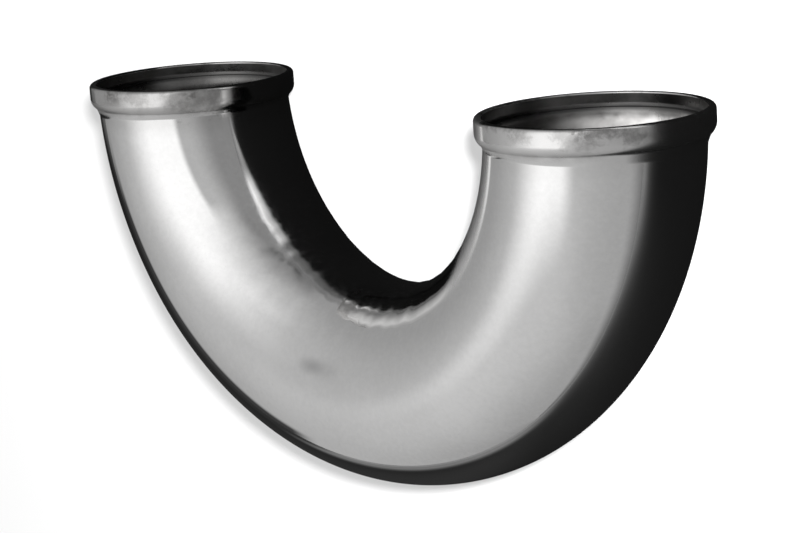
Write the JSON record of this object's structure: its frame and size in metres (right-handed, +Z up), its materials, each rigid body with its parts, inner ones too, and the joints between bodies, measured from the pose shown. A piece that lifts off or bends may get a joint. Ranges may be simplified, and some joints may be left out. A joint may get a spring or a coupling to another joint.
{
  "type": "return bend",
  "caption": "Polished metal tube turned back on itself in a half circle, with a rolled bead and a shallow socket at each mouth to join parallel pipes.",
  "frame": {"origin": "middle of the bounding box on the plane that the two beads rest on", "axes": "+X from leg to leg, +Y out of both mouths, +Z up, square to the plane of the bend, as it lies on its side"},
  "size_m": [0.162, 0.0808, 0.0445],
  "materials": {
    "polished_chrome": "mirror polished, tarnished at the lips"
  },
  "bodies": {
    "root": {"return_bend": "polished_chrome"}
  },
  "joints": []
}
